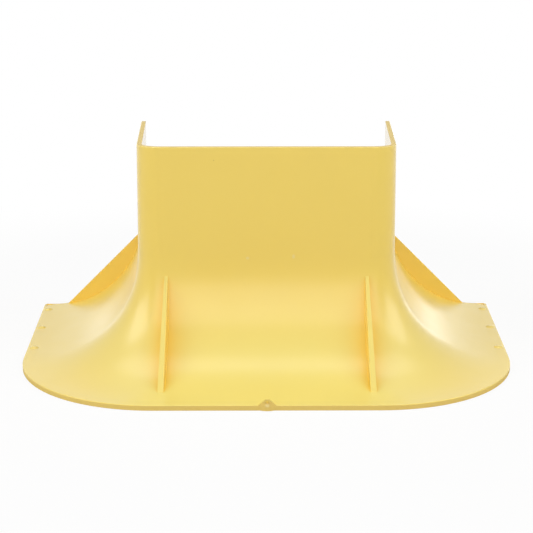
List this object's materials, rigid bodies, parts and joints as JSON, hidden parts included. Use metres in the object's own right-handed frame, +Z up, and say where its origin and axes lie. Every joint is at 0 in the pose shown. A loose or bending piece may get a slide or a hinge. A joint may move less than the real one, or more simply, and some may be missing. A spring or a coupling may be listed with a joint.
{
  "type": "fibre raceway fitting",
  "caption": "Trumpet exit for a fibre raceway: a moulded U-shaped channel that flares out at its foot to a flat lip, with gussets on the flare, so that cables leave on a wide bend.",
  "frame": {"origin": "middle of the piece in plan, on the plane that the lip's underside stands on", "axes": "+Z up along the channel to its upper end, +X along the wide wall, which faces -Y; the open side faces +Y"},
  "size_m": [0.2616, 0.1648, 0.1105],
  "materials": {
    "yellow_plastic": "semi-gloss moulded plastic with a fine grain"
  },
  "bodies": {
    "root": {"trumpet_exit": "yellow_plastic"}
  },
  "joints": []
}
